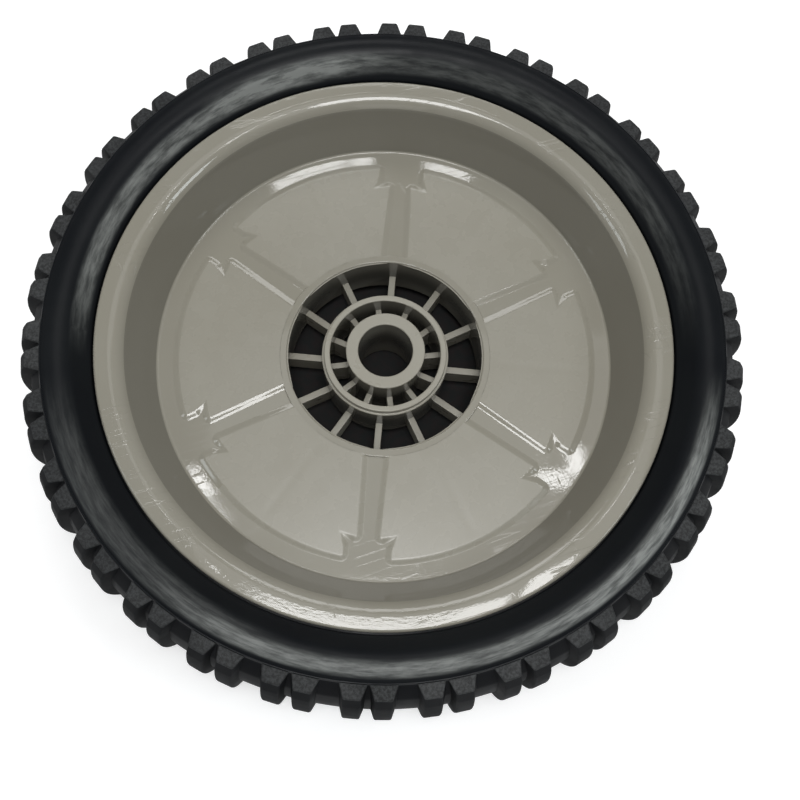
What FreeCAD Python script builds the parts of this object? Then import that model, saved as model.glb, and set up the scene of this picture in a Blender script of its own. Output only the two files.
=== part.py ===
"""Lawn mower wheel: a one-piece moulded plastic centre and the block-tread rubber tyre on its rim.

Millimetres. The axle runs along Z, the tyre's middle plane is Z = 0 and the dished face looks up (+Z).
Angles named clock_deg are clockwise from +Y, looking down on the dished face.
"""
import FreeCAD, Part
import math
import os

Vector = FreeCAD.Vector
Z_AXIS = Vector(0, 0, 1)

# Tyre
tyre_diameter = 204.6
tyre_width = 44.5
tyre_height = 21.8
crown_radius = 50.3
shoulder_width = 5.0
shoulder_bevel_deg = 29.5
shoulder_line_inset = 9.3
shoulder_line_drop = 1.05
sidewall_radius = 6.4
sidewall_slope_deg = 50.0
bead_gap = 0.5

# Tread: pairs of bars that cross the tyre from shoulder to shoulder
tread_depth = 2.7
pair_count = 30
pair_clock_deg = 2.84
bar_spacing_deg = 4.75
bar_base_width = 6.4
bar_top_width = 4.5
bar_edge_chamfer = 0.45
bar_end_drop = 0.3
bar_root = 1.2

# Rim
flange_diameter = tyre_diameter - 2 * tyre_height
flange_height = 16.05
flange_thickness = 2.8
flange_edge_chamfer = 0.6
flange_face_width = 7.0
dish_mouth_diameter = flange_diameter - 2 * flange_face_width
dish_taper_width = 7.2
dish_floor_diameter = dish_mouth_diameter - 2 * dish_taper_width
dish_lip_round = 5.0
rim_wall = 2.8
seat_waist_width = 6.0
seat_clearance = 0.05

# Web
web_thickness = 3.4
recess_depth = 0.5
web_band_width = 5.3
panel_diameter = dish_floor_diameter - 2 * web_band_width
panel_edge_chamfer = 0.3
arrow_count = 6
arrow_clock_deg = 5.0
collar_width = 2.4
arrow_tail_width = 6.0
arrow_neck_width = 4.7
arrow_neck_inset = 5.4
arrow_barb_width = 15.1
arrow_barb_inset = 7.5
arrow_head_width = 11.8
arrow_head_inset = 4.2
arrow_corner_round = 0.7
back_rib_count = 12
back_rib_thickness = 2.0
back_rib_depth = 5.0

# Hub
bore_diameter = 15.875
tube_diameter = 23.0
tube_rise = 2.7
tube_back = 21.2
ring_inner_diameter = 32.4
ring_outer_diameter = 35.9
ring_rise = 0.65
ring_ledge_drop = 1.8
ring_ledge_width = 0.65
hole_diameter = 57.6
hole_wall = 2.2
hub_back = 18.0
hub_edge_chamfer = 0.3
outer_rib_count = 12
outer_rib_clock_deg = 5.0
outer_rib_thickness = 2.0
outer_rib_drop = 10.5
inner_rib_count = 12
inner_rib_clock_deg = -7.0
inner_rib_thickness = 1.75
inner_rib_drop = 6.75

# Ribs and panels run this far into the wall that carries them, so that they fuse.
root = 0.6

# Worked out from the sizes above
half_width = tyre_width / 2
crown_centre = tyre_diameter / 2 - crown_radius
crown_base_radius = crown_radius - tread_depth
crown_half_angle = math.degrees(math.asin((half_width - shoulder_width) / crown_radius))
shoulder_line_radius = tyre_diameter / 2 - shoulder_line_inset
flange_radius = flange_diameter / 2
flange_under = flange_height - flange_thickness
dish_mouth_radius = dish_mouth_diameter / 2
dish_floor_radius = dish_floor_diameter / 2
wall_taper = dish_taper_width / (flange_height + recess_depth)
rim_wall_radial = rim_wall * math.hypot(1, wall_taper)
half_waist = seat_waist_width / 2
hole_radius = hole_diameter / 2
collar_radius = hole_radius + collar_width
panel_radius = panel_diameter / 2
ring_inner_radius = ring_inner_diameter / 2
ring_outer_radius = ring_outer_diameter / 2
tube_radius = tube_diameter / 2


def dish_radius(height):
    """Inner radius of the rim's wall at a distance from the middle plane."""
    return dish_mouth_radius - wall_taper * (flange_height - abs(height))


def seat_radius(height):
    """Radius of the tyre's seat on the rim at a distance from the middle plane."""
    return dish_radius(height) + rim_wall_radial


def point(r, z):
    return Vector(r, 0, z)


def polar(centre, radius, degrees):
    """Point of an arc in the section plane, with the angle measured from the radial direction."""
    angle = math.radians(degrees)
    return centre + Vector(radius * math.cos(angle), 0, radius * math.sin(angle))


def line(a, b):
    return Part.LineSegment(a, b).toShape()


def arc(centre, radius, start_deg, end_deg):
    middle_deg = (start_deg + end_deg) / 2
    points = [polar(centre, radius, degrees) for degrees in (start_deg, middle_deg, end_deg)]
    return Part.Arc(*points).toShape()


def sharp(corner):
    return corner, 0, False


def rounded(corner, radius):
    return corner, radius, True


def chamfered(corner, size):
    return corner, size, False


def eased_edges(corners, closed=True):
    """Straight runs from corner to corner, with a tangent arc or a chamfer at each eased corner."""
    count = len(corners)
    joints = []
    for i, (corner, size, is_round) in enumerate(corners):
        if size == 0:
            joints.append([corner])
            continue
        before = (corners[i - 1][0] - corner).normalize()
        after = (corners[(i + 1) % count][0] - corner).normalize()
        half_angle = before.getAngle(after) / 2
        if is_round:
            reach = size / math.tan(half_angle)
            bisector = (before + after).normalize()
            middle = corner + bisector * (size / math.sin(half_angle) - size)
            joints.append([corner + before * reach, middle, corner + after * reach])
        else:
            joints.append([corner + before * size, corner + after * size])
    edges = []
    for i, joint in enumerate(joints):
        if len(joint) == 3:
            edges.append(Part.Arc(*joint).toShape())
        elif len(joint) == 2:
            edges.append(line(*joint))
        if closed or i + 1 < count:
            edges.append(line(joint[-1], joints[(i + 1) % count][0]))
    return edges


def eased_outline(corners):
    return Part.Wire(eased_edges(corners))


def revolved(wire):
    return Part.Face(wire).revolve(Vector(), Z_AXIS, 360)


def turned(shape, clock_deg):
    """Copy of a shape built along +X, turned to a clock angle."""
    copy = shape.copy()
    copy.rotate(Vector(), Z_AXIS, 90 - clock_deg)
    return copy


def around(shape, count, clock_deg):
    return [turned(shape, clock_deg + i * 360 / count) for i in range(count)]


def fused(first, others):
    return first.fuse(others).removeSplitter()


def only_solid(shape):
    if len(shape.Solids) != 1 or not shape.isValid():
        raise ValueError("expected one valid solid, found %d" % len(shape.Solids))
    return shape.Solids[0]


def rib(inner_radius, outer_radius, thickness, bottom, top):
    """Straight radial rib, run into the walls at both ends."""
    box = Part.makeBox(outer_radius - inner_radius + 2 * root, thickness, top - bottom)
    box.translate(Vector(inner_radius - root, -thickness / 2, bottom))
    return box


def rim_and_web():
    """Both flanges, the tyre's seat, the web at its recessed level and the wall of the hub hole."""
    hole_wall_radius = hole_radius + hole_wall
    corners = [
        chamfered(point(flange_radius, flange_height), flange_edge_chamfer),
        rounded(point(dish_mouth_radius, flange_height), dish_lip_round),
        sharp(point(dish_floor_radius, -recess_depth)),
        sharp(point(collar_radius, -recess_depth)),
        chamfered(point(collar_radius, 0), panel_edge_chamfer),
        chamfered(point(hole_radius, 0), panel_edge_chamfer),
        sharp(point(hole_radius, -hub_back)),
        sharp(point(hole_wall_radius, -hub_back)),
        sharp(point(hole_wall_radius, -web_thickness)),
        sharp(point(dish_radius(web_thickness), -web_thickness)),
        rounded(point(dish_mouth_radius, -flange_height), dish_lip_round),
        chamfered(point(flange_radius, -flange_height), flange_edge_chamfer),
        sharp(point(flange_radius, -flange_under)),
        sharp(point(seat_radius(flange_under), -flange_under)),
        sharp(point(seat_radius(half_waist), -half_waist)),
        sharp(point(seat_radius(half_waist), half_waist)),
        sharp(point(seat_radius(flange_under), flange_under)),
        sharp(point(flange_radius, flange_under)),
    ]
    return revolved(eased_outline(corners))


def arrow_outline():
    """Plan of one recessed arrow along +X: tail at the collar, swept barbs, head open to the outer band."""
    neck = panel_radius - arrow_neck_inset
    barb = panel_radius - arrow_barb_inset
    head = panel_radius - arrow_head_inset
    half_outline = [
        (collar_radius, arrow_tail_width / 2, 0),
        (neck, arrow_neck_width / 2, arrow_corner_round),
        (barb, arrow_barb_width / 2, 0),
        (head, arrow_head_width / 2, arrow_corner_round),
        (panel_radius + recess_depth, arrow_head_width / 2, 0),
    ]
    one_side = [rounded(Vector(x, -y, 0), radius) for x, y, radius in half_outline]
    other_side = [rounded(Vector(x, y, 0), radius) for x, y, radius in reversed(half_outline)]
    return eased_outline(one_side + other_side)


def raised_panels():
    """The web's raised sectors: a disc with the arrows cut through it and its upper edges chamfered."""
    floor = -recess_depth - root
    disc = Part.makeCylinder(panel_radius, -floor, Vector(0, 0, floor))
    middle = Part.makeCylinder(collar_radius - root, -floor, Vector(0, 0, floor))
    arrow = Part.Face(arrow_outline()).extrude(Z_AXIS * -floor)
    arrow.translate(Vector(0, 0, floor))
    panels = disc.cut([middle] + around(arrow, arrow_count, arrow_clock_deg))
    eased = []
    for panel in panels.Solids:
        top_edges = [edge for edge in panel.Edges if is_open_top_edge(edge)]
        eased.append(panel.makeChamfer(panel_edge_chamfer, top_edges))
    return eased


def is_open_top_edge(edge):
    """True for a panel's upper edges that border a recess, false for the one inside the collar."""
    middle = edge.valueAt((edge.FirstParameter + edge.LastParameter) / 2)
    on_top = edge.BoundBox.ZMin > -root / 10
    return on_top and math.hypot(middle.x, middle.y) > collar_radius - root / 2


def back_rib():
    """Stiffening rib behind the web, from the hub hole's wall to the rim's wall, along +X."""
    top = -web_thickness + root
    bottom = -web_thickness - back_rib_depth
    inner = hole_radius + hole_wall - root
    outline = [point(inner, top), point(inner, bottom)]
    outline += [point(seat_radius(z) - rim_wall_radial / 2, z) for z in (bottom, top)]
    wire = Part.makePolygon(outline + outline[:1])
    wire.translate(Vector(0, -back_rib_thickness / 2, 0))
    return Part.Face(wire).extrude(Vector(0, back_rib_thickness, 0))


def hub_tube():
    ends = [
        point(bore_diameter / 2, tube_rise),
        point(tube_radius, tube_rise),
        point(tube_radius, -tube_back),
        point(bore_diameter / 2, -tube_back),
    ]
    return revolved(eased_outline([chamfered(end, hub_edge_chamfer) for end in ends]))


def hub_ring():
    """Ring between the tube and the hole's wall, with a narrow ledge round its outside."""
    ledge_radius = ring_outer_radius + ring_ledge_width
    ledge = ring_rise - ring_ledge_drop
    corners = [
        chamfered(point(ring_inner_radius, ring_rise), hub_edge_chamfer),
        chamfered(point(ring_outer_radius, ring_rise), hub_edge_chamfer),
        sharp(point(ring_outer_radius, ledge)),
        sharp(point(ledge_radius, ledge)),
        sharp(point(ledge_radius, -hub_back)),
        sharp(point(ring_inner_radius, -hub_back)),
    ]
    return revolved(eased_outline(corners))


def hub_ribs():
    ledge_radius = ring_outer_radius + ring_ledge_width
    outer = rib(ledge_radius, hole_radius, outer_rib_thickness, -hub_back, -outer_rib_drop)
    inner = rib(tube_radius, ring_inner_radius, inner_rib_thickness, -hub_back, -inner_rib_drop)
    outer_ribs = around(outer, outer_rib_count, outer_rib_clock_deg)
    inner_ribs = around(inner, inner_rib_count, inner_rib_clock_deg)
    return outer_ribs + inner_ribs


def wheel_centre():
    pieces = raised_panels()
    pieces += around(back_rib(), back_rib_count, outer_rib_clock_deg)
    pieces += [hub_tube(), hub_ring()]
    pieces += hub_ribs()
    return only_solid(fused(rim_and_web(), pieces))


def tyre_side(side):
    """Edges of the tyre's section from crown to bead. side is +1 at the dished face and -1 at the back."""
    crown_end = polar(point(crown_centre, 0), crown_base_radius, side * crown_half_angle)
    ridge = point(shoulder_line_radius, side * (half_width - shoulder_line_drop))
    apex_offset = math.sqrt(sidewall_radius ** 2 - (sidewall_radius - shoulder_line_drop) ** 2)
    bulge_centre = point(shoulder_line_radius - apex_offset, side * (half_width - sidewall_radius))
    ridge_deg = math.degrees(math.asin((sidewall_radius - shoulder_line_drop) / sidewall_radius))
    foot_deg = 90 + sidewall_slope_deg
    bulge = arc(bulge_centre, sidewall_radius, side * ridge_deg, side * foot_deg)
    bulge_end = polar(bulge_centre, sidewall_radius, side * foot_deg)
    lip_radius = flange_radius + bead_gap
    drop = (bulge_end.x - lip_radius) * math.tan(math.radians(sidewall_slope_deg))
    lip = point(lip_radius, bulge_end.z - side * drop)
    bead = point(lip_radius, side * (flange_under - seat_clearance))
    return [line(crown_end, ridge), bulge, line(bulge_end, lip), line(lip, bead)], bead


def tyre_seat_edges(upper_bead, lower_bead):
    """The tyre's inner face from bead to bead, which follows the rim's seat."""
    gap = seat_clearance
    corners = [
        sharp(upper_bead),
        sharp(point(seat_radius(flange_under) + gap, upper_bead.z)),
        sharp(point(seat_radius(half_waist) + gap, half_waist)),
        sharp(point(seat_radius(half_waist) + gap, -half_waist)),
        sharp(point(seat_radius(flange_under) + gap, lower_bead.z)),
        sharp(lower_bead),
    ]
    return eased_edges(corners, closed=False)


def carcass_section():
    """Section of the tyre without its tread bars."""
    upper, upper_bead = tyre_side(1)
    lower, lower_bead = tyre_side(-1)
    crown = arc(point(crown_centre, 0), crown_base_radius, -crown_half_angle, crown_half_angle)
    seat = tyre_seat_edges(upper_bead, lower_bead)
    return Part.Face(Part.Wire([crown] + upper + seat + lower[::-1]))


def bar_section():
    """Trapezoid across one tread bar at the middle plane, its root sunk into the carcass."""
    top = crown_centre + crown_radius
    flank_run = (bar_base_width - bar_top_width) / 2 / tread_depth
    root_half = bar_base_width / 2 + flank_run * bar_root
    top_half = bar_top_width / 2
    outline = [
        (top - tread_depth - bar_root, root_half),
        (top - bar_edge_chamfer, top_half + flank_run * bar_edge_chamfer),
        (top, top_half - bar_edge_chamfer),
    ]
    points = [Vector(r, y, 0) for r, y in outline] + [Vector(r, -y, 0) for r, y in reversed(outline)]
    return Part.Face(Part.makePolygon(points + points[:1]))


def tread_bar():
    """One bar along +X: its section swept over the crown, run down both shoulder bevels, then cut square."""
    y_axis = Vector(0, 1, 0)
    crown_pivot = point(crown_centre, 0)
    bevel = math.radians(shoulder_bevel_deg)
    pieces = []
    for side in (1, -1):
        section = bar_section()
        pieces.append(section.revolve(crown_pivot, y_axis, -side * crown_half_angle))
        section.rotate(crown_pivot, y_axis, -side * crown_half_angle)
        run = 2 * shoulder_width
        pieces.append(section.extrude(Vector(-run * math.sin(bevel), 0, side * run * math.cos(bevel))))
    whole = fused(pieces[0], pieces[1:])
    end = half_width - shoulder_line_drop - bar_end_drop
    slab = Part.makeCylinder(tyre_diameter, 2 * end, Vector(0, 0, -end))
    return whole.common(slab)


def rotated(shape, degrees):
    copy = shape.copy()
    copy.rotate(Vector(), Z_AXIS, degrees)
    return copy


def is_pitch_end(face, pitch):
    """True for the two flat faces where one pitch of the tyre meets its neighbours."""
    centre = face.CenterOfMass
    angle = math.degrees(math.atan2(centre.y, centre.x))
    return isinstance(face.Surface, Part.Plane) and abs(abs(angle) - pitch / 2) < pitch / 1000


def tyre():
    """One pitch of the tyre with its pair of bars, repeated round the axle and sewn into one solid."""
    pitch = 360 / pair_count
    sector = rotated(carcass_section(), -pitch / 2).revolve(Vector(), Z_AXIS, pitch)
    bar = tread_bar()
    sector = fused(sector, [rotated(bar, side * bar_spacing_deg / 2) for side in (-1, 1)])
    skin = [face for face in sector.Faces if not is_pitch_end(face, pitch)]
    pitches = around(Part.makeCompound(skin), pair_count, pair_clock_deg)
    shell = Part.makeShell([face for one in pitches for face in one.Faces])
    shell.sewShape()
    return only_solid(Part.makeSolid(shell))


def main():
    os.makedirs("parts", exist_ok=True)
    for name, build in (("wheel_centre", wheel_centre), ("tyre", tyre)):
        build().exportStep("parts/%s.step" % name)


main()
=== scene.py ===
"""Looks of the lawn mower wheel: the moulded centre, the rubber tyre, and a plain studio round them.

Lengths are written in millimetres in the wheel's own frame and become metres in the meshes.
The axle is Z, the dished face looks up, and clock angles run clockwise from +Y seen from above.
"""
import math
import random

import bmesh
import bpy
from mathutils import Matrix, Vector


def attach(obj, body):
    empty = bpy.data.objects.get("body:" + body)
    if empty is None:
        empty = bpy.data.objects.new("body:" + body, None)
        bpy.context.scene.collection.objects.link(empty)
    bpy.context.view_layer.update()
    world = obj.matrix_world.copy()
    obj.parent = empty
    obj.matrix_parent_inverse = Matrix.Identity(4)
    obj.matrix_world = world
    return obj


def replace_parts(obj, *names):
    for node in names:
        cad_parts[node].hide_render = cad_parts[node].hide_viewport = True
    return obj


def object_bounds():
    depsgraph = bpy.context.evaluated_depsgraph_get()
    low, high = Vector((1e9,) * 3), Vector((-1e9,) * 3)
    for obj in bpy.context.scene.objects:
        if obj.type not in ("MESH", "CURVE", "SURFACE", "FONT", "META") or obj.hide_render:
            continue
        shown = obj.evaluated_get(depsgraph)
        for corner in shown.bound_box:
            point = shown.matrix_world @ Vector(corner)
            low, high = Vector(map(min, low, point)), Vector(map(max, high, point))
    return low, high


MM = 0.001
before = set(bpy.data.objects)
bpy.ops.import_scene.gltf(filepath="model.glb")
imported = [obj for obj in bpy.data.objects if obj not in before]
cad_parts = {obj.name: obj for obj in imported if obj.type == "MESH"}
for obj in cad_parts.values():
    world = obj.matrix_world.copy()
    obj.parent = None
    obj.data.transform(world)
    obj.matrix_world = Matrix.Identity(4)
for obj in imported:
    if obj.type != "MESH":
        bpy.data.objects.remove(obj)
cad_low, cad_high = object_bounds()
scene = bpy.context.scene
scene.view_settings.view_transform = "Standard"

# Wheel centre: flanges, dish, web and the wall of the hub hole
FLANGE_RADIUS, FLANGE_HEIGHT, FLANGE_UNDER = 80.5, 16.05, 13.25
MOUTH_RADIUS, MOUTH_ROUNDING, FLOOR_RADIUS = 73.5, 5.0, 66.3
RECESS, WEB_BACK = -0.5, -3.4
WALL_TAPER = (MOUTH_RADIUS - FLOOR_RADIUS) / (FLANGE_HEIGHT - RECESS)
WALL_THICKNESS, SEAT_WAIST = 2.8, 3.0
SEAT_OFFSET = WALL_THICKNESS * math.hypot(1, WALL_TAPER)
HOLE_RADIUS, HOLE_WALL_RADIUS, COLLAR_RADIUS = 28.8, 31.0, 31.2
RIM_SEGMENTS, TUBE_SEGMENTS, RING_SEGMENTS = 288, 128, 160

# Wheel centre: axle tube, middle ring and ribs
BORE_RADIUS, TUBE_RADIUS, TUBE_TOP, TUBE_BOTTOM = 7.9375, 11.5, 2.7, -21.2
RING_INNER, RING_OUTER, RING_LEDGE = 16.2, 17.95, 18.6
RING_TOP, RING_STEP, HUB_BACK = 0.65, 1.8, -18.0
RIB_COUNT, RIB_BITE, RIB_EDGE = 12, 0.6, 0.18
OUTER_RIB_CLOCK, OUTER_RIB_THICKNESS, OUTER_RIB_TOP = 5.0, 2.0, -10.5
INNER_RIB_CLOCK, INNER_RIB_THICKNESS, INNER_RIB_TOP = -7.0, 1.75, -6.75
BACK_RIB_THICKNESS, BACK_RIB_DEPTH, BACK_RIB_EDGE = 2.0, 5.0, 0.25

# Wheel centre: web panels and the arrows between them
ARROW_CLOCK, ARROW_COUNT, ARROW_HEAD_HALF_WIDTH = 5.0, 6, 5.9
PANEL_INNER, PANEL_INNER_CLOCK, PANEL_RADIUS = 29.6, 5.8, 61.0
PANEL_RAMP, PANEL_CORNER, PANEL_SINK = 2.3, 1.3, 0.02
# One side of an arrow from the hub outwards: distance along it, distance from its middle, rounding
ARROW_HALF = [
    (PANEL_INNER, 3.0, 0.0),
    (55.6, 2.35, PANEL_CORNER),
    (53.5, 7.55, 0.0),
    (56.8, ARROW_HEAD_HALF_WIDTH, PANEL_CORNER),
]
# Panel edges below this Y are rubbed dull
DULL_BELOW = -40.0
# How far an inset corner may run out, as the least cosine between its normal and its sides' normals
OUTWARD_MITRE, INWARD_MITRE = 0.4, 0.9

# Tyre
CROWN_RADIUS, CROWN_CENTRE, CROWN_END = 50.3, 51.99, 17.25
TREAD_DEPTH, GROOVE_RADIUS = 2.7, 93.6
RIDGE_RADIUS, RIDGE_HEIGHT = 93.0, 21.2
# Section of the ridge line on the shoulder, from the tread to the sidewall
RIDGE_SHAPE = [(0.95, -1.2), (0.45, -0.5), (0.35, -0.08), (0.18, 0.14), (-0.02, 0.14), (-0.14, 0.04)]
BULGE_RADIUS, BULGE_CENTRE = 6.4, (89.487, 15.85)
BULGE_START_DEG, BULGE_END_DEG = 58.5, 140.0
TYRE_LIP, TYRE_GAP = 81.0, 0.05
TYRE_SEGMENTS = 480

# Tread bars, in pairs round the tyre
PAIR_COUNT, PAIR_CLOCK, BAR_SPACING = 30, 2.84, 4.75
BAR_HALF_TOP, BAR_FLANK, BAR_DEPTH, BAR_END = 2.25, 0.339, 4.6, 20.9
BEVEL_SLOPE = math.tan(math.radians(29.5))
BAR_SHIFT, SHIFT_SEED = 0.06, 4
END_EDGE_STEPS = 3
# Rounded edge of a bar: depth below its top, and how far its flank moves outwards there
BAR_EDGE = [(BAR_DEPTH, 0.0), (0.62, 0.0), (0.30, -0.03), (0.11, -0.13), (0.0, -0.42)]

# Materials, with their slots in the two pieces
RIM, PANEL, HUB, SHADED_WALL = range(4)
SIDEWALL, BAR, BAR_FACE, GROOVE = range(4)
PLASTIC_LIGHT, PLASTIC_DARK = (0.305, 0.290, 0.242), (0.2895, 0.273095, 0.22388)
# Heights between which the marks of wear on the rim grow to their full strength
WEAR_START, WEAR_FULL = 8.0, 12.0
# Height at which the painted shade down the hub's gaps is darkest
SHADE_DARKEST_HEIGHT = -9.5
# Colour of the dust and of the painted sheen on the sidewall
DUST_AND_SHEEN_COLOUR = (0.235, 0.245, 0.235)
# Dust, and painted sheen where highlights fall: radii from none to full and back to none, clock angle,
# degrees to where it thins and ends, amount
DUST_AND_SHEEN = [
    ((86.9, 89.0, 91.0, 92.3), 160.0, 38.0, 62.0, 0.85),
    ((87.4, 89.4, 91.6, 92.4), 126.0, 6.0, 30.0, 0.38),
    ((84.5, 87.0, 91.5, 92.6), 228.0, 10.0, 34.0, 0.24),
    ((81.4, 82.8, 84.4, 86.0), 312.0, 22.0, 48.0, 1.0),
    ((82.6, 84.2, 85.8, 87.4), 342.0, 4.0, 22.0, 0.6),
    ((81.8, 83.2, 85.0, 86.8), 25.0, 25.0, 70.0, 0.34),
]

# Camera, with angles in radians, and its focus and the target's place in pixels of the picture
PICTURE_SIZE, CAMERA_FOCUS = 800, 984.736
CAMERA_TARGET_PIXEL = (386.636, 334.720)
CAMERA_DISTANCE, CAMERA_TILT, CAMERA_AZIMUTH = 273.7, 0.3441896, -0.0673239
CAMERA_TARGET = Vector((0, 0, FLANGE_HEIGHT))
CAMERA_PLACE = CAMERA_TARGET + CAMERA_DISTANCE * Vector((
    math.sin(CAMERA_TILT) * math.sin(CAMERA_AZIMUTH),
    -math.sin(CAMERA_TILT) * math.cos(CAMERA_AZIMUTH),
    math.cos(CAMERA_TILT)))

# Studio
FLOOR_HALF_SIZE, FLOOR_GLOW = 3000.0, 0.36
# Dark pad under the wheel: painted shade on the floor, seen through the hub
SHADE_PAD_RADIUS, SHADE_PAD_LIFT = 70.0, 0.2
WORLD_STRENGTH = 0.17
WINDOW_TINT = (0.90, 0.97, 1.0)
WHITE = (1.0, 1.0, 1.0)
# Soft lamps: name, place, the point that they look at, width, depth, radiance, tint
LAMPS = [
    ("overhead_softbox", (90, -60, 1200), (90, -60, 0), 660, 1000, 0.9, WHITE),
    ("ceiling_lamp", (11.5, -136.5, 1000), (11.5, -136.5, 0), 323, 327, 11.5, WHITE),
    ("front_window", (0, -1100, 620), (0, 0, 0), 420, 640, 0.6, WHITE),
    ("side_window", (910, -280, 890), (0, 0, 0), 300, 380, 7.0, WINDOW_TINT),
    ("left_window", (-910, -100, 890), (0, 0, 0), 300, 380, 4.0, WINDOW_TINT),
    ("far_window", (-20, 840, 850), (0, 0, 0), 600, 350, 4.0, WHITE),
]
# Small lamps for glints: name, x, y and level of the glint, its width and depth, radiance
GLINT_HEIGHT = 1000.0
GLINTS = [
    ("lamp_near_right", 41.5, -66, FLANGE_HEIGHT, 14, 13, 12.0),
    ("lamp_right_low", 47.5, -37.2, RECESS, 10, 4.5, 16.0),
    ("lamp_right_high", 54.5, -32, RECESS, 4.5, 9, 16.0),
    ("lamp_speck", -42.6, -61.7, FLANGE_HEIGHT, 2.0, 1.7, 20.0),
]
# Glints on the web's outer band: name, clock angle, radius, width, depth, radiance
BAND_GLINTS = [
    ("lamp_left", 233.5, 64.5, 9.5, 3.4, 18.0),
    ("lamp_left_thin", 225, 65.4, 9, 0.8, 14.0),
]
FAR_GLINT_CLOCKS = (-29, -22, -15, -7, 15, 21)
BAND_GLINTS += [(f"lamp_far_{k}", clock, 63.5, 7.6, 5.4, 12.0) for k, clock in enumerate(FAR_GLINT_CLOCKS)]


def dish_radius(height):
    return MOUTH_RADIUS - WALL_TAPER * (FLANGE_HEIGHT - abs(height))


def clock_direction(clock_deg):
    angle = math.radians(clock_deg)
    return math.sin(angle), math.cos(angle)


def eased(corners, step_deg=9.0):
    """Closed outline through (x, y, rounding) corners, with each rounded corner drawn as an arc."""
    points = []
    count = len(corners)
    for i, (x, y, radius) in enumerate(corners):
        corner = Vector((x, y))
        if radius == 0:
            points.append(corner)
            continue
        before = (Vector(corners[i - 1][:2]) - corner).normalized()
        after = (Vector(corners[(i + 1) % count][:2]) - corner).normalized()
        half = before.angle(after) / 2
        reach = radius / math.tan(half)
        centre = corner + (before + after).normalized() * (radius / math.sin(half))
        start = corner + before * reach - centre
        sweep = start.angle_signed(corner + after * reach - centre)
        steps = max(2, round(abs(math.degrees(sweep)) / step_deg))
        for k in range(steps + 1):
            turn = -sweep * k / steps
            cos, sin = math.cos(turn), math.sin(turn)
            turned = Vector((cos * start.x - sin * start.y, sin * start.x + cos * start.y))
            points.append(centre + turned)
    return points


def arc(centre, radius, start, end, steps):
    """Points of an arc in a section, between two angles from the outward direction."""
    angles = [start + (end - start) * k / steps for k in range(steps + 1)]
    return [Vector((centre[0] + radius * math.cos(a), centre[1] + radius * math.sin(a))) for a in angles]


def lathe(bm, outline, segments):
    """Closed (radius, height) outline turned round the axle."""
    rings = []
    for k in range(segments):
        angle = 2 * math.pi * k / segments
        cos, sin = math.cos(angle) * MM, math.sin(angle) * MM
        rings.append([bm.verts.new((p[0] * cos, p[0] * sin, p[1] * MM)) for p in outline])
    count = len(outline)
    faces = []
    for k in range(segments):
        here, there = rings[k], rings[(k + 1) % segments]
        for i in range(count):
            j = (i + 1) % count
            faces.append(bm.faces.new((here[i], there[i], there[j], here[j])))
    return faces


def inset(outline, distance):
    """Counter-clockwise outline moved inwards. Corners that point inwards keep short tips."""
    moved = []
    count = len(outline)
    for i, corner in enumerate(outline):
        one = (corner - outline[i - 1]).normalized()
        two = (outline[(i + 1) % count] - corner).normalized()
        normal_one, normal_two = Vector((-one.y, one.x)), Vector((-two.y, two.x))
        normal = (normal_one + normal_two).normalized()
        shortest = OUTWARD_MITRE if one.cross(two) > 0 else INWARD_MITRE
        moved.append(corner + normal * (distance / max(shortest, normal.dot(normal_one))))
    return moved


def rounded_levels(bottom, top, edge, steps=2):
    """(inset, height) levels of an upright side with a rounded upper edge."""
    levels = [(0.0, bottom)]
    for k in range(steps + 1):
        angle = math.pi / 2 * k / steps
        levels.append((edge * (1 - math.cos(angle)), top - edge + edge * math.sin(angle)))
    return levels


def ramp_levels(bottom, top, width, steps=10):
    """(inset, height) levels of a side that sweeps up in an S from its foot to the top."""
    levels = []
    for k in range(steps + 1):
        share = k / steps
        rise = share * share * (3 - 2 * share)
        levels.append((width * (share - 0.5), bottom + (top - bottom) * rise))
    return levels


def prism(bm, outline, levels):
    """Solid over a counter-clockwise plan, with the outline moved in by a distance at each level."""
    rings = []
    for distance, height in levels:
        plan = inset(outline, distance) if distance else outline
        rings.append([bm.verts.new((p.x * MM, p.y * MM, height * MM)) for p in plan])
    count = len(outline)
    faces = []
    for lower, upper in zip(rings, rings[1:]):
        for i in range(count):
            j = (i + 1) % count
            faces.append(bm.faces.new((lower[i], lower[j], upper[j], upper[i])))
    cap = bm.faces.new(rings[-1])
    bm.faces.new(rings[0][::-1])
    return faces, cap


def turned_plan(points, clock_deg):
    """Plan drawn along +X, turned to a clock angle."""
    angle = math.radians(90 - clock_deg)
    cos, sin = math.cos(angle), math.sin(angle)
    return [Vector((cos * p[0] - sin * p[1], sin * p[0] + cos * p[1])) for p in points]


def turned_corners(corners, clock_deg):
    """(x, y, rounding) corners drawn along +X, turned to a clock angle."""
    plan = turned_plan(corners, clock_deg)
    return [(point.x, point.y, corner[2]) for point, corner in zip(plan, corners)]


def arc_corners(radius, start_deg, end_deg, steps):
    """Corners without rounding between two clock angles, without the ends."""
    corners = []
    for i in range(1, steps):
        x, y = clock_direction(start_deg + (end_deg - start_deg) * i / steps)
        corners.append((x * radius, y * radius, 0.0))
    return corners


def make_object(name, bm, materials, sharp_deg):
    """Smooth-shaded object with one material for each slot number."""
    bmesh.ops.recalc_face_normals(bm, faces=bm.faces)
    mesh = bpy.data.meshes.new(name)
    bm.to_mesh(mesh)
    bm.free()
    mesh.shade_smooth()
    mesh.set_sharp_from_angle(angle=math.radians(sharp_deg))
    for slot in sorted(materials):
        mesh.materials.append(materials[slot])
    piece = bpy.data.objects.new(name, mesh)
    scene.collection.objects.link(piece)
    weighted = piece.modifiers.new("flat faces first", "WEIGHTED_NORMAL")
    weighted.mode = "FACE_AREA"
    weighted.weight = 60
    weighted.keep_sharp = True
    return piece


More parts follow.
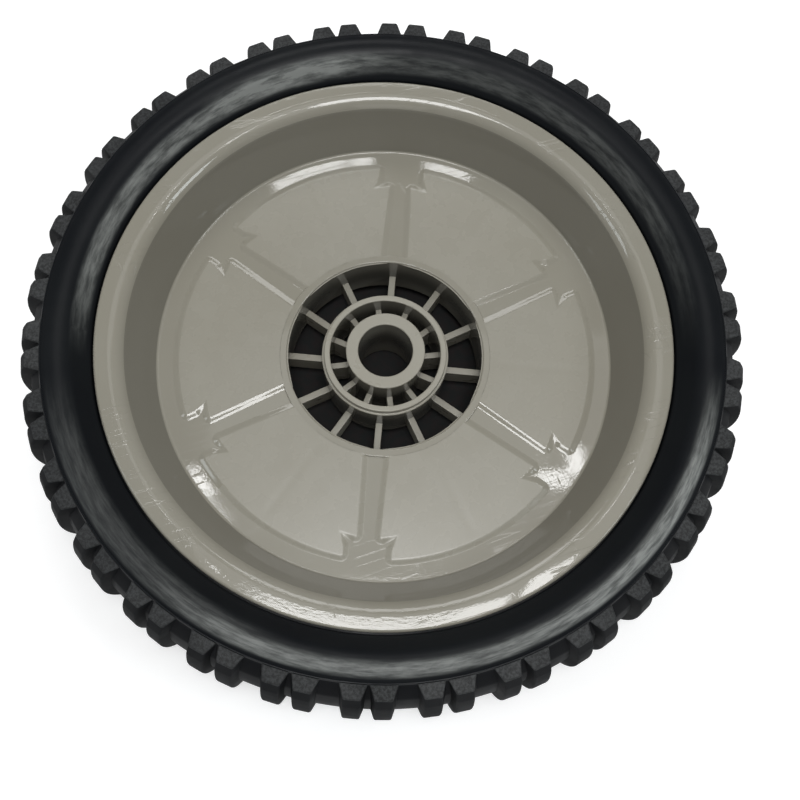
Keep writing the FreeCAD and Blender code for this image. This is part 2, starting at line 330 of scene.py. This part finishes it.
class Graph:
    """A material's node tree, with short ways to add nodes and join them."""

    def __init__(self, name):
        self.material = bpy.data.materials.new(name)
        self.material.use_nodes = True
        self.tree = self.material.node_tree
        self.shader = self.tree.nodes["Principled BSDF"]
        self.coords = self.add("ShaderNodeTexCoord").outputs["Object"]

    def add(self, kind, inputs=None, **settings):
        made = self.tree.nodes.new(kind)
        for key, value in settings.items():
            setattr(made, key, value)
        for key, value in (inputs or {}).items():
            self.feed(made.inputs[key], value)
        return made

    def feed(self, socket, value):
        if isinstance(value, bpy.types.NodeSocket):
            self.tree.links.new(value, socket)
        else:
            socket.default_value = value

    def set(self, socket, value):
        self.feed(self.shader.inputs[socket], value)

    def math(self, operation, a, b=0.0):
        return self.add("ShaderNodeMath", {0: a, 1: b}, operation=operation).outputs[0]

    def ranged(self, value, from_min, from_max, to_min, to_max):
        """Value taken smoothly from one range to another, and held at its ends."""
        inputs = {"Value": value, "From Min": from_min, "From Max": from_max,
                  "To Min": to_min, "To Max": to_max}
        return self.add("ShaderNodeMapRange", inputs, interpolation_type="SMOOTHSTEP").outputs["Result"]

    def noise(self, scale, detail=3.0, vector=None, roughness=0.5):
        inputs = {"Vector": vector or self.coords, "Scale": scale, "Detail": detail, "Roughness": roughness}
        return self.add("ShaderNodeTexNoise", inputs).outputs["Fac"]

    def bump(self, height, distance, strength=1.0, normal=None):
        """Normal of a surface raised by a height of 0 to 1, times a distance in millimetres."""
        inputs = {"Height": height, "Distance": distance * MM, "Strength": strength}
        if normal is not None:
            inputs["Normal"] = normal
        return self.add("ShaderNodeBump", inputs).outputs["Normal"]

    def mix(self, factor, one, two):
        """Colour between two others, each a socket or three numbers."""
        made = self.add("ShaderNodeMix", {"Factor": factor}, data_type="RGBA")
        colour_sockets = [socket for socket in made.inputs if socket.type == "RGBA"]
        for socket, colour in zip(colour_sockets, (one, two)):
            self.feed(socket, colour if isinstance(colour, bpy.types.NodeSocket) else (*colour, 1.0))
        return [socket for socket in made.outputs if socket.type == "RGBA"][0]

    def base_colour(self):
        """The socket that feeds the base colour so far."""
        return self.shader.inputs["Base Color"].links[0].from_socket

    def shade_base(self, factor):
        """Multiply the base colour so far by a number."""
        inputs = {0: self.base_colour(), "Scale": factor}
        self.set("Base Color", self.add("ShaderNodeVectorMath", inputs, operation="SCALE").outputs[0])

    def axes(self):
        """Object coordinates x, y and height."""
        return self.add("ShaderNodeSeparateXYZ", {"Vector": self.coords}).outputs

    def radius(self, x, y):
        squares = self.math("ADD", self.math("MULTIPLY", x, x), self.math("MULTIPLY", y, y))
        return self.math("SQRT", squares)

    def placed(self, location=(0, 0, 0), turn_deg=0.0, scale=(1, 1, 1)):
        """Object coordinates seen from a place in millimetres, turned about the axle and scaled."""
        inputs = {"Vector": self.coords, "Location": Vector(location) * MM,
                  "Rotation": (0, 0, math.radians(turn_deg))}
        moved = self.add("ShaderNodeMapping", inputs, vector_type="TEXTURE").outputs[0]
        return self.add("ShaderNodeVectorMath", {0: moved, 1: scale}, operation="MULTIPLY").outputs[0]

    def streak(self, location, turn_deg, half_length, half_width):
        """1 along a short straight line in plan, 0 away from it."""
        parts = self.add("ShaderNodeSeparateXYZ", {"Vector": self.placed(location, turn_deg)})
        along = self.math("ABSOLUTE", parts.outputs[0])
        across = self.math("ABSOLUTE", parts.outputs[1])
        length = self.ranged(along, half_length * MM, half_length * 0.6 * MM, 0.0, 1.0)
        width = self.ranged(across, half_width * MM, 0.0, 0.0, 1.0)
        return self.math("MULTIPLY", length, width)

    def scratches(self, turn_deg, fineness, share):
        """Thin broken lines in one direction, over a share of the surface."""
        stretched = (fineness * 0.03, fineness, fineness * 0.2)
        lines = self.noise(1.0, 1.0, self.placed((3, 7, 0), turn_deg, stretched))
        off_line = self.math("ABSOLUTE", self.math("SUBTRACT", lines, 0.5))
        thin = self.ranged(off_line, 0.012, 0.0, 0.0, 1.0)
        clouds = self.noise(55.0, 2.0, self.placed((0, 0, 0), turn_deg + 31))
        patches = self.ranged(clouds, 1 - share, 1 - share + 0.08, 0.0, 1.0)
        return self.math("MULTIPLY", thin, patches)

    def band(self, value, rise_from, rise_to, fall_from, fall_to):
        """1 between two edges of a length in millimetres, with a soft rise and a soft fall."""
        rise = self.ranged(value, rise_from * MM, rise_to * MM, 0.0, 1.0)
        return self.math("MULTIPLY", rise, self.ranged(value, fall_from * MM, fall_to * MM, 1.0, 0.0))

    def toward(self, x, y, radius, clock_deg, full_deg, none_deg):
        """1 near one clock angle round the axle, falling to 0 between two angles away from it."""
        side, up = clock_direction(clock_deg)
        along = self.math("ADD", self.math("MULTIPLY", x, side), self.math("MULTIPLY", y, up))
        none, full = math.cos(math.radians(none_deg)), math.cos(math.radians(full_deg))
        return self.ranged(self.math("DIVIDE", along, radius), none, full, 0.0, 1.0)

    def arcs(self, x, y, radius, around, outward, detail, roughness=0.5):
        """Noise drawn out along circles round the axle."""
        along = self.math("MULTIPLY", self.math("ARCTAN2", y, x), around)
        across = self.math("MULTIPLY", radius, outward)
        place = self.add("ShaderNodeCombineXYZ", {0: along, 1: across}).outputs[0]
        return self.noise(1.0, detail, place, roughness)


def plastic(name, roughness, scratch_share, tone=1.0):
    """Graph of the moulded plastic, the mask of its scratches and the normal of its fine surface."""
    graph = Graph(name)
    light = [channel * tone for channel in PLASTIC_LIGHT]
    dark = [channel * tone for channel in PLASTIC_DARK]
    clouds = graph.ranged(graph.noise(24.0, 4.0), 0.35, 0.7, 0.0, 1.0)
    graph.set("Base Color", graph.mix(clouds, light, dark))
    scratch = graph.math("ADD", graph.scratches(18.0, 420.0, scratch_share),
                         graph.scratches(-63.0, 520.0, scratch_share * 0.8))
    grain = graph.ranged(graph.noise(160.0, 3.0), 0.3, 0.7, *roughness)
    graph.set("Roughness", graph.math("ADD", grain, graph.math("MULTIPLY", scratch, 0.22)))
    graph.set("IOR", 1.5)
    flow = graph.bump(graph.noise(30.0, 1.0), 0.10, 0.25)
    skin = graph.bump(graph.noise(1500.0, 2.0), 0.012, 0.35, flow)
    return graph, scratch, skin


def rim_plastic():
    """Glossy plastic with scratched flanges, scuffed along one stretch."""
    graph, scratch, normal = plastic("moulded_plastic_gloss", (0.025, 0.045), 0.53, 0.95)
    x, y, height = graph.axes()
    radius = graph.radius(x, y)
    on_flange = graph.ranged(graph.math("ABSOLUTE", height), WEAR_START * MM, WEAR_FULL * MM, 0.08, 1.0)
    scuffs = graph.math("MULTIPLY", graph.arcs(x, y, radius, around=40.0, outward=1500.0, detail=4.0),
                        graph.toward(x, y, radius, clock_deg=188.0, full_deg=17.0, none_deg=25.0))
    scuffed = graph.bump(graph.math("MULTIPLY", scuffs, on_flange), 0.035, 1.0, normal)
    graph.set("Normal", graph.bump(graph.math("MULTIPLY", scratch, on_flange), -0.038, 0.85, scuffed))
    return graph.material


def panel_plastic():
    """Satin plastic with a faint sunk line along the middle of each web panel."""
    graph, scratch, normal = plastic("moulded_plastic_satin", (0.24, 0.31), 0.3, 0.985)
    middle, half_length, half_width = 46.0, 15.0, 2.2
    sinks = 0.0
    for k in range(ARROW_COUNT):
        clock_deg = ARROW_CLOCK + (k + 0.5) * 360 / ARROW_COUNT
        x, y = clock_direction(clock_deg)
        line = graph.streak((middle * x, middle * y, 0), 90 - clock_deg, half_length, half_width)
        sinks = graph.math("ADD", sinks, line)
    graph.set("Normal", graph.bump(sinks, -0.05, 0.5, graph.bump(scratch, -0.01, 0.3, normal)))
    return graph.material


def shaded_wall_plastic():
    """Upright faces in plastic with painted shade: darker all over, and darkest half-way down the hub's
    gaps.
    """
    graph, scratch, normal = plastic("moulded_plastic_painted_shade", (0.05, 0.09), 0.2)
    height = graph.axes()[2]
    away = graph.math("ABSOLUTE", graph.math("SUBTRACT", height, SHADE_DARKEST_HEIGHT * MM))
    # Painted shade: the base colour falls to 0.28 at the darkest height and is 0.68 away from it
    graph.shade_base(graph.ranged(away, 0.5 * MM, 9.0 * MM, 0.28, 0.68))
    graph.set("Normal", graph.bump(scratch, -0.01, 0.3, normal))
    return graph.material


def hub_plastic():
    graph, _, normal = plastic("moulded_plastic_hub", (0.26, 0.36), 0.12, 1.05)
    graph.set("Normal", normal)
    return graph.material


def rubber(name, one_colour, two_colour, roughness, specular):
    graph = Graph(name)
    clouds = graph.ranged(graph.noise(30.0, 5.0), 0.3, 0.7, 0.0, 1.0)
    graph.set("Base Color", graph.mix(clouds, one_colour, two_colour))
    graph.set("Roughness", graph.ranged(graph.noise(70.0, 5.0, roughness=0.6), 0.3, 0.7, *roughness))
    graph.set("Specular IOR Level", specular)
    return graph


def sidewall_rubber():
    """Smooth rubber under streaky dust and a painted sheen where highlights fall, with two short creases."""
    graph = rubber("tyre_rubber_smooth", (0.0060, 0.0070, 0.0088), (0.0085, 0.0098, 0.0112),
                   roughness=(0.32, 0.44), specular=0.12)
    x, y, _ = graph.axes()
    radius = graph.radius(x, y)
    streaks = graph.arcs(x, y, radius, around=11.0, outward=1000.0, detail=5.0, roughness=0.62)
    # Painted sheen where highlights fall on the sidewall, mixed with streaky dust
    sheen_and_dust = 0.0
    for edges, clock_deg, full_deg, none_deg, amount in DUST_AND_SHEEN:
        patch = graph.math("MULTIPLY", graph.band(radius, *edges),
                           graph.toward(x, y, radius, clock_deg, full_deg, none_deg))
        sheen_and_dust = graph.math("ADD", sheen_and_dust, graph.math("MULTIPLY", patch, amount))
    sheen_and_dust = graph.math("MULTIPLY", sheen_and_dust, graph.ranged(streaks, 0.28, 0.72, 0.25, 1.0))
    graph.set("Base Color", graph.mix(sheen_and_dust, graph.base_colour(), DUST_AND_SHEEN_COLOUR))
    waves = graph.bump(graph.noise(90.0, 4.0), 0.10, 0.3)
    skin = graph.bump(graph.noise(2600.0, 2.0), 0.02, 0.4, waves)
    creases = graph.math("ADD", graph.streak((17.0, -87.5, 22.0), 52, 3.0, 0.45),
                         graph.streak((11.5, -88.6, 22.0), 58, 2.4, 0.4))
    graph.set("Normal", graph.bump(creases, -0.08, 0.6, skin))
    return graph.material


def bar_rubber():
    graph = rubber("tyre_rubber_bars", (0.0125, 0.0132, 0.0145), (0.0180, 0.0188, 0.0202),
                   roughness=(0.45, 0.6), specular=0.02)
    graph.set("Normal", graph.bump(graph.noise(900.0, 4.0), 0.05, 0.35))
    return graph.material


def groove_rubber():
    graph = rubber("tyre_rubber_groove", (0.0060, 0.0066, 0.0080), (0.0085, 0.0092, 0.0106),
                   roughness=(0.42, 0.52), specular=0.03)
    graph.set("Normal", graph.bump(graph.noise(300.0, 3.0), 0.03, 0.3))
    return graph.material


def bar_end_rubber():
    graph = rubber("tyre_rubber_grained", (0.016, 0.0173, 0.0182), (0.028, 0.0294, 0.0300),
                   roughness=(0.62, 0.8), specular=0.4)
    graph.shade_base(graph.ranged(graph.noise(1300.0, 3.0, roughness=0.7), 0.35, 0.65, 0.5, 1.65))
    graph.set("Normal", graph.bump(graph.noise(2100.0, 3.0, roughness=0.7), 0.16, 0.9))
    return graph.material


def rim_and_web(bm):
    """Section of rim, web and hub hole as radius, height and rounding, turned round the axle."""
    seat_edge = dish_radius(FLANGE_UNDER) + SEAT_OFFSET
    seat_waist = dish_radius(SEAT_WAIST) + SEAT_OFFSET
    corners = [
        (FLANGE_RADIUS, FLANGE_HEIGHT, 0.8),
        (MOUTH_RADIUS, FLANGE_HEIGHT, MOUTH_ROUNDING),
        (FLOOR_RADIUS, RECESS, 0.8),
        (COLLAR_RADIUS, RECESS, 0.0),
        (COLLAR_RADIUS, 0.0, 0.4),
        (HOLE_RADIUS, 0.0, 0.4),
        (HOLE_RADIUS, HUB_BACK, 0.3),
        (HOLE_WALL_RADIUS, HUB_BACK, 0.3),
        (HOLE_WALL_RADIUS, WEB_BACK, 0.5),
        (dish_radius(WEB_BACK), WEB_BACK, 1.2),
        (MOUTH_RADIUS, -FLANGE_HEIGHT, MOUTH_ROUNDING),
        (FLANGE_RADIUS, -FLANGE_HEIGHT, 0.8),
        (FLANGE_RADIUS, -FLANGE_UNDER, 0.5),
        (seat_edge, -FLANGE_UNDER, 0.0),
        (seat_waist, -SEAT_WAIST, 0.0),
        (seat_waist, SEAT_WAIST, 0.0),
        (seat_edge, FLANGE_UNDER, 0.0),
        (FLANGE_RADIUS, FLANGE_UNDER, 0.5),
    ]
    for face in lathe(bm, eased(corners), RIM_SEGMENTS):
        centre = face.calc_center_median() / MM
        radius = math.hypot(*centre.xy)
        on_dish_wall = FLOOR_RADIUS < radius < MOUTH_RADIUS - 1.0 and centre.z > 0
        in_hub_hole = radius < HOLE_RADIUS + 0.1 and centre.z < RECESS
        # The dish wall and the hub hole take the plastic with painted shade
        if on_dish_wall or in_hub_hole:
            face.material_index = SHADED_WALL


def raised_panels(bm):
    """Web sectors between the recessed arrows. Flat tops, and edges rubbed dull at one end, are satin."""
    pitch = 360 / ARROW_COUNT
    head_end = math.sqrt(PANEL_RADIUS ** 2 - ARROW_HEAD_HALF_WIDTH ** 2)
    half_head = math.degrees(math.asin(ARROW_HEAD_HALF_WIDTH / PANEL_RADIUS))
    far_side = ARROW_HALF + [(head_end, ARROW_HEAD_HALF_WIDTH, PANEL_CORNER)]
    near_side = [(x, -y, rounding) for x, y, rounding in far_side]
    for k in range(ARROW_COUNT):
        clock = ARROW_CLOCK + k * pitch
        corners = turned_corners(near_side, clock)
        corners += arc_corners(PANEL_RADIUS, clock + half_head, clock + pitch - half_head, 24)
        corners += turned_corners(far_side[::-1], clock + pitch)
        corners += arc_corners(PANEL_INNER, clock + pitch - PANEL_INNER_CLOCK, clock + PANEL_INNER_CLOCK, 10)
        outline = eased(corners, step_deg=18.0)[::-1]
        sides, cap = prism(bm, outline, ramp_levels(RECESS - PANEL_SINK, 0.0, PANEL_RAMP))
        cap.material_index = PANEL
        for face in sides:
            if face.calc_center_median().y < DULL_BELOW * MM:
                face.material_index = PANEL


def rib_plan(inner, outer, thickness):
    half = thickness / 2
    return [(inner, -half), (outer, -half), (outer, half), (inner, half)]


def hub_ribs(bm, clock_deg, inner, outer, thickness, top):
    plan = rib_plan(inner - RIB_BITE, outer + RIB_BITE, thickness)
    for k in range(RIB_COUNT):
        outline = turned_plan(plan, clock_deg + k * 360 / RIB_COUNT)
        sides, cap = prism(bm, outline, rounded_levels(HUB_BACK, top, RIB_EDGE))
        for face in sides + [cap]:
            face.material_index = HUB


def back_ribs(bm):
    """Ribs that hang from the back of the web, with their rounded edges down."""
    outer = dish_radius(WEB_BACK - BACK_RIB_DEPTH) + SEAT_OFFSET / 2
    plan = rib_plan(HOLE_WALL_RADIUS - RIB_BITE, outer, BACK_RIB_THICKNESS)
    upright = rounded_levels(0.0, BACK_RIB_DEPTH + RIB_BITE, BACK_RIB_EDGE)
    levels = [(distance, WEB_BACK + RIB_BITE - height) for distance, height in reversed(upright)]
    for k in range(RIB_COUNT):
        prism(bm, turned_plan(plan, ARROW_CLOCK + k * 360 / RIB_COUNT), levels)


def hub(bm):
    """Tube and stepped ring as radius, height and rounding, and the ribs that join them to the web."""
    tube = [
        (BORE_RADIUS, TUBE_TOP, 0.35), (TUBE_RADIUS, TUBE_TOP, 0.35),
        (TUBE_RADIUS, TUBE_BOTTOM, 0.35), (BORE_RADIUS, TUBE_BOTTOM, 0.35),
    ]
    ledge = RING_TOP - RING_STEP
    ring = [
        (RING_INNER, RING_TOP, 0.35), (RING_OUTER, RING_TOP, 0.35), (RING_OUTER, ledge, 0.2),
        (RING_LEDGE, ledge, 0.3), (RING_LEDGE, HUB_BACK, 0.3), (RING_INNER, HUB_BACK, 0.3),
    ]
    for outline, segments in ((tube, TUBE_SEGMENTS), (ring, RING_SEGMENTS)):
        for face in lathe(bm, eased(outline[::-1]), segments):
            below_ledge = face.calc_center_median().z < (ledge - 0.4) * MM
            # Faces below the ring's ledge take the plastic with painted shade
            face.material_index = SHADED_WALL if below_ledge else HUB
    hub_ribs(bm, OUTER_RIB_CLOCK, RING_LEDGE, HOLE_RADIUS, OUTER_RIB_THICKNESS, OUTER_RIB_TOP)
    hub_ribs(bm, INNER_RIB_CLOCK, TUBE_RADIUS, RING_INNER, INNER_RIB_THICKNESS, INNER_RIB_TOP)


def wheel_centre():
    bm = bmesh.new()
    rim_and_web(bm)
    raised_panels(bm)
    back_ribs(bm)
    hub(bm)
    materials = {RIM: rim_plastic(), PANEL: panel_plastic(), HUB: hub_plastic(), SHADED_WALL: shaded_wall_plastic()}
    piece = make_object("wheel_centre_moulding", bm, materials, sharp_deg=50)
    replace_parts(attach(piece, "root"), "wheel_centre")


def side_profile():
    """Upper half of the tyre's section from its middle to the rim, outside first."""
    crown_angle = math.asin(CROWN_END / CROWN_RADIUS)
    crown = arc((CROWN_CENTRE, 0.0), CROWN_RADIUS - TREAD_DEPTH, 0.0, crown_angle, 10)
    ridge = [Vector((RIDGE_RADIUS + out, RIDGE_HEIGHT + up)) for out, up in RIDGE_SHAPE]
    bulge = arc(BULGE_CENTRE, BULGE_RADIUS, math.radians(BULGE_START_DEG), math.radians(BULGE_END_DEG), 18)
    foot = bulge[-1]
    slope = math.tan(math.radians(BULGE_END_DEG - 90))
    lip_top = foot.y - (foot.x - TYRE_LIP) * slope
    lip = [
        Vector((TYRE_LIP + 0.5, lip_top + 0.5 * slope)),
        Vector((TYRE_LIP + 0.12, lip_top - 0.05)),
        Vector((TYRE_LIP, lip_top - 0.6)),
        Vector((TYRE_LIP, FLANGE_UNDER - TYRE_GAP)),
    ]
    seat = [Vector((dish_radius(height) + SEAT_OFFSET + TYRE_GAP, height))
            for height in (FLANGE_UNDER - TYRE_GAP, SEAT_WAIST)]
    return crown + ridge + bulge + lip + seat


def bar_top(height):
    """Radius of a bar's top: a crown, and a straight bevel beyond its end."""
    height = abs(height)
    crown = CROWN_CENTRE + math.sqrt(CROWN_RADIUS ** 2 - min(height, CROWN_END) ** 2)
    return crown - max(0.0, height - CROWN_END) * BEVEL_SLOPE


def bar_slices():
    """(height, inset) of the slices of one bar from its lower end to its upper end."""
    upper = [(CROWN_END * k / 9, 0.0) for k in range(1, 9)]
    upper += [(CROWN_END - 0.4, 0.0), (CROWN_END, 0.03), (CROWN_END + 0.4, 0.0), (BAR_END - 1.9, 0.0)]
    upper += [(BAR_END - 0.30, 0.0), (BAR_END - 0.15, 0.04), (BAR_END - 0.04, 0.14), (BAR_END, 0.30)]
    return [(-height, inset_by) for height, inset_by in reversed(upper)] + [(0.0, 0.0)] + upper


def tread_bar(bm, clock_deg, generator):
    """One bar as a stack of slices, a little to one side. Its ends and their rounded edges are grained."""
    x, y = clock_direction(clock_deg)
    out, side = Vector((x, y, 0)), Vector((y, -x, 0))
    shift = generator.uniform(-BAR_SHIFT, BAR_SHIFT)
    half = [(depth, BAR_HALF_TOP + BAR_FLANK * depth + move) for depth, move in BAR_EDGE]
    section = [(depth, -width) for depth, width in half] + [(0.0, 0.0)] + half[::-1]
    rings = []
    for height, inset_by in bar_slices():
        top = bar_top(height) - inset_by
        ring = []
        for depth, width in section:
            width = math.copysign(max(0.0, abs(width) - inset_by), width)
            place = out * (top - depth) + side * (width + shift) + Vector((0, 0, height))
            ring.append(bm.verts.new(place * MM))
        rings.append(ring)
    steps = list(zip(rings, rings[1:]))
    for k, (low, high) in enumerate(steps):
        on_end_edge = min(k, len(steps) - 1 - k) < END_EDGE_STEPS
        for i in range(len(section) - 1):
            face = bm.faces.new((low[i], low[i + 1], high[i + 1], high[i]))
            face.material_index = BAR_FACE if on_end_edge else BAR
    for ring in (rings[0], rings[-1][::-1]):
        bm.faces.new(ring).material_index = BAR_FACE


def tyre():
    bm = bmesh.new()
    upper = side_profile()
    lower = [Vector((p.x, -p.y)) for p in reversed(upper[1:])]
    for face in lathe(bm, upper + lower, TYRE_SEGMENTS):
        on_tread = math.hypot(*face.calc_center_median().xy) > GROOVE_RADIUS * MM
        face.material_index = GROOVE if on_tread else SIDEWALL
    generator = random.Random(SHIFT_SEED)
    for k in range(PAIR_COUNT):
        for way in (-1, 1):
            clock = PAIR_CLOCK + k * 360 / PAIR_COUNT + way * BAR_SPACING / 2
            tread_bar(bm, clock, generator)
    materials = {SIDEWALL: sidewall_rubber(), BAR: bar_rubber(), BAR_FACE: bar_end_rubber(),
                 GROOVE: groove_rubber()}
    piece = make_object("tyre_moulding", bm, materials, sharp_deg=32)
    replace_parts(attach(piece, "root"), "tyre")


def stage_piece(name, bm, material, height):
    mesh = bpy.data.meshes.new(name)
    bm.to_mesh(mesh)
    bm.free()
    mesh.materials.append(material)
    plane = bpy.data.objects.new(name, mesh)
    plane.location.z = height
    scene.collection.objects.link(plane)


def floor():
    """Pale paper, with a glow that the camera sees and that lights nothing."""
    graph = Graph("floor_paper")
    shade = graph.ranged(graph.noise(9.0, 2.0), 0.3, 0.7, 0.86, 0.88)
    colour = graph.add("ShaderNodeCombineColor", {0: shade, 1: shade, 2: shade})
    graph.set("Base Color", colour.outputs[0])
    graph.set("Roughness", 0.9)
    graph.set("Specular IOR Level", 0.1)
    path = graph.add("ShaderNodeLightPath").outputs
    seen = graph.math("MAXIMUM", path["Is Camera Ray"], path["Is Transmission Ray"])
    graph.set("Emission Color", (1.0, 1.0, 1.0, 1.0))
    graph.set("Emission Strength", graph.math("MULTIPLY", seen, FLOOR_GLOW))
    bm = bmesh.new()
    bmesh.ops.create_grid(bm, x_segments=2, y_segments=2, size=FLOOR_HALF_SIZE * MM)
    stage_piece("floor", bm, graph.material, cad_low.z)


def shade_pad():
    """Dark pad on the floor under the wheel: painted shade, seen through the hub."""
    graph = Graph("painted_shade_disc")
    red = graph.ranged(graph.noise(400.0, 3.0), 0.3, 0.7, 0.006, 0.011)
    graph.set("Base Color", graph.add("ShaderNodeCombineColor", {0: red, 1: 0.008, 2: 0.008}).outputs[0])
    graph.set("Roughness", 0.9)
    bm = bmesh.new()
    bmesh.ops.create_circle(bm, cap_ends=True, segments=64, radius=SHADE_PAD_RADIUS * MM)
    stage_piece("shade_pad", bm, graph.material, cad_low.z + SHADE_PAD_LIFT * MM)


def lamp(name, place, aim, width, depth, radiance, tint=WHITE):
    """Rectangular lamp in millimetres that looks at a point, with its brightness as seen in a mirror."""
    data = bpy.data.lights.new(name, "AREA")
    data.shape = "RECTANGLE"
    data.size, data.size_y = width * MM, depth * MM
    data.energy = radiance * math.pi * data.size * data.size_y
    data.color = tint
    made = bpy.data.objects.new(name, data)
    made.location = Vector(place) * MM
    direction = (Vector(aim) - Vector(place)).normalized()
    made.rotation_euler = direction.to_track_quat("-Z", "Y").to_euler()
    scene.collection.objects.link(made)
    return made


def glint(name, x, y, level, width, depth, radiance):
    """Small lamp whose mirror image covers width by depth millimetres of a level face at (x, y)."""
    share = (GLINT_HEIGHT - level) / (CAMERA_PLACE.z - level)
    lamp_x, lamp_y = x + share * (x - CAMERA_PLACE.x), y + share * (y - CAMERA_PLACE.y)
    return lamp(name, (lamp_x, lamp_y, GLINT_HEIGHT), (lamp_x, lamp_y, 0.0),
                width * (1 + share), depth * (1 + share), radiance)


def band_glint(name, clock_deg, radius, width, depth, radiance):
    """Glint on the web's outer band, turned along the band."""
    x, y = clock_direction(clock_deg)
    made = glint(name, radius * x, radius * y, RECESS, width, depth, radiance)
    made.rotation_euler.z -= math.radians(clock_deg)


def camera():
    """Camera at its place, turned so that the target lands on its pixel."""
    forward = (CAMERA_TARGET - CAMERA_PLACE).normalized()
    right = forward.cross(Vector((0, 1, 0))).normalized()
    down = forward.cross(right)
    base = Matrix((right, down, forward))
    u, v = ((pixel - PICTURE_SIZE / 2) / CAMERA_FOCUS for pixel in CAMERA_TARGET_PIXEL)
    ray = Vector((u, v, 1)).normalized()
    turn = Vector((0, 0, 1)).rotation_difference(ray).to_matrix()
    rows = turn @ base
    axes = Matrix((rows[0], -rows[1], -rows[2])).transposed()
    data = bpy.data.cameras.new("camera")
    data.sensor_width = 36.0
    data.lens = CAMERA_FOCUS / PICTURE_SIZE * data.sensor_width
    data.clip_start, data.clip_end = 0.01, 20.0
    made = bpy.data.objects.new("camera", data)
    made.matrix_world = Matrix.Translation(CAMERA_PLACE * MM) @ axes.to_4x4()
    scene.collection.objects.link(made)
    scene.camera = made


def studio():
    """Even world light, soft lamps round the wheel, and small lamps for the glints on its plastic."""
    world = bpy.data.worlds.new("studio")
    world.use_nodes = True
    background = world.node_tree.nodes["Background"]
    background.inputs["Color"].default_value = (1.0, 1.0, 1.0, 1.0)
    background.inputs["Strength"].default_value = WORLD_STRENGTH
    scene.world = world
    for row in LAMPS:
        lamp(*row)
    for row in GLINTS:
        glint(*row)
    for row in BAND_GLINTS:
        band_glint(*row)


wheel_centre()
tyre()
floor()
shade_pad()
camera()
studio()
